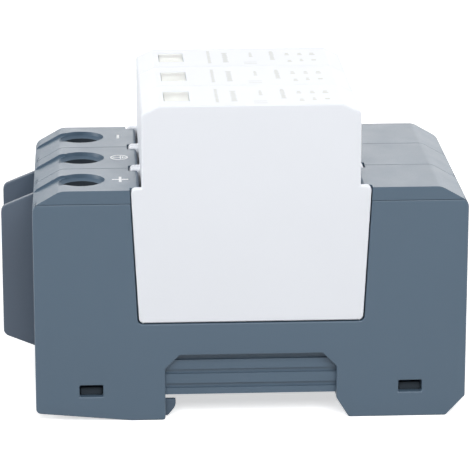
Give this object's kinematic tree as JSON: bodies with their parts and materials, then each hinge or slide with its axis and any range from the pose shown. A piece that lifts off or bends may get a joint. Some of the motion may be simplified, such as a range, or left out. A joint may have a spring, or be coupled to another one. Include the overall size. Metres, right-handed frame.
{
  "type": "din rail surge arrester",
  "caption": "Rail-mounted surge arrester: dark pole bases with screw terminals on one end, spring clips for a 35 mm rail and white plug-in modules with status windows.",
  "frame": {"origin": "middle of the rail seat, where the rail's front face rests against the base", "axes": "+Z away from the rail towards the module tops, +X from the terminal end to the plain end, +Y along the rail across the poles"},
  "size_m": [0.0969, 0.0538, 0.0676],
  "materials": {
    "base_plastic": "fine moulded matt, blue grey",
    "barrier_plastic": "matt, blue grey",
    "module_plastic": "fine moulded matt, white",
    "zinc_steel": "zinc plated",
    "spring_steel": "bright drawn wire",
    "copper": "stamped copper alloy",
    "lens": "clear plastic",
    "flag_white": "white",
    "flag_red": "red",
    "varistor_coat": "blue epoxy coat"
  },
  "bodies": {
    "base": {"pole_housing_1": "base_plastic", "pole_housing_2": "base_plastic", "pole_housing_3": "base_plastic", "side_cover_1": "base_plastic", "side_cover_2": "base_plastic", "side_cover_3": "base_plastic", "barrier_plate_1": "barrier_plastic", "barrier_plate_2": "barrier_plastic", "contact_strap_1": "copper", "contact_strap_2": "copper", "contact_strap_3": "copper", "star_bar": "copper", "joining_pins": "base_plastic", "clip_spring_1": "spring_steel", "clip_spring_2": "spring_steel", "clip_spring_3": "spring_steel"},
    "module_1": {"module_shell_1": "module_plastic", "module_bottom_1": "module_plastic", "window_lens_1": "lens", "flag_spring_1": "spring_steel", "red_plate_1": "flag_red", "varistor_1": "varistor_coat", "near_electrode_1": "copper", "far_electrode_1": "copper", "thermal_arm_1": "copper"},
    "flag_1": {"status_flag_1": "flag_white"},
    "screw_1": {"terminal_screw_1": "zinc_steel"},
    "cage_1": {"terminal_cage_1": "zinc_steel"},
    "clip_1": {"rail_clip_1": "base_plastic"},
    "module_2": {"module_shell_2": "module_plastic", "module_bottom_2": "module_plastic", "window_lens_2": "lens", "flag_spring_2": "spring_steel", "red_plate_2": "flag_red", "varistor_2": "varistor_coat", "near_electrode_2": "copper", "far_electrode_2": "copper", "thermal_arm_2": "copper"},
    "flag_2": {"status_flag_2": "flag_white"},
    "screw_2": {"terminal_screw_2": "zinc_steel"},
    "cage_2": {"terminal_cage_2": "zinc_steel"},
    "clip_2": {"rail_clip_2": "base_plastic"},
    "module_3": {"module_shell_3": "module_plastic", "module_bottom_3": "module_plastic", "window_lens_3": "lens", "flag_spring_3": "spring_steel", "red_plate_3": "flag_red", "varistor_3": "varistor_coat", "near_electrode_3": "copper", "far_electrode_3": "copper", "thermal_arm_3": "copper"},
    "flag_3": {"status_flag_3": "flag_white"},
    "screw_3": {"terminal_screw_3": "zinc_steel"},
    "cage_3": {"terminal_cage_3": "zinc_steel"},
    "clip_3": {"rail_clip_3": "base_plastic"}
  },
  "joints": [
    {"name": "module_1_pull", "type": "slide", "parent": "base", "child": "module_1", "axis": [0, 0, 1], "range_m": [0, 0.04]},
    {"name": "flag_1_trip", "type": "slide", "parent": "module_1", "child": "flag_1", "axis": [1, 0, 0], "range_m": [0, 0.0064], "deforming": ["flag_spring_1"]},
    {"name": "screw_1_turn", "type": "hinge", "parent": "base", "child": "screw_1", "pos_m": [-0.0349, -0.018, 0.0356], "axis": [0, 0, -1], "range_deg": [0, 2520]},
    {"name": "cage_1_rise", "type": "slide", "parent": "base", "child": "cage_1", "axis": [0, 0, 1], "range_m": [0, 0.0056]},
    {"name": "clip_1_pull", "type": "slide", "parent": "base", "child": "clip_1", "axis": [-1, 0, 0], "range_m": [0, 0.0025], "stiffness_N_per_m": 1500, "springref_m": -0.002, "deforming": ["clip_spring_1"]},
    {"name": "module_2_pull", "type": "slide", "parent": "base", "child": "module_2", "axis": [0, 0, 1], "range_m": [0, 0.04]},
    {"name": "flag_2_trip", "type": "slide", "parent": "module_2", "child": "flag_2", "axis": [1, 0, 0], "range_m": [0, 0.0064], "deforming": ["flag_spring_2"]},
    {"name": "screw_2_turn", "type": "hinge", "parent": "base", "child": "screw_2", "pos_m": [-0.0349, 0, 0.0356], "axis": [0, 0, -1], "range_deg": [0, 2520]},
    {"name": "cage_2_rise", "type": "slide", "parent": "base", "child": "cage_2", "axis": [0, 0, 1], "range_m": [0, 0.0056]},
    {"name": "clip_2_pull", "type": "slide", "parent": "base", "child": "clip_2", "axis": [-1, 0, 0], "range_m": [0, 0.0025], "stiffness_N_per_m": 1500, "springref_m": -0.002, "deforming": ["clip_spring_2"]},
    {"name": "module_3_pull", "type": "slide", "parent": "base", "child": "module_3", "axis": [0, 0, 1], "range_m": [0, 0.04]},
    {"name": "flag_3_trip", "type": "slide", "parent": "module_3", "child": "flag_3", "axis": [1, 0, 0], "range_m": [0, 0.0064], "deforming": ["flag_spring_3"]},
    {"name": "screw_3_turn", "type": "hinge", "parent": "base", "child": "screw_3", "pos_m": [-0.0349, 0.018, 0.0356], "axis": [0, 0, -1], "range_deg": [0, 2520]},
    {"name": "cage_3_rise", "type": "slide", "parent": "base", "child": "cage_3", "axis": [0, 0, 1], "range_m": [0, 0.0056]},
    {"name": "clip_3_pull", "type": "slide", "parent": "base", "child": "clip_3", "axis": [-1, 0, 0], "range_m": [0, 0.0025], "stiffness_N_per_m": 1500, "springref_m": -0.002, "deforming": ["clip_spring_3"]}
  ],
  "couplings": [
    {"joint": "screw_1_turn", "follows": "cage_1_rise", "rad_per_m": 7854},
    {"joint": "screw_2_turn", "follows": "cage_2_rise", "rad_per_m": 7854},
    {"joint": "screw_3_turn", "follows": "cage_3_rise", "rad_per_m": 7854}
  ]
}
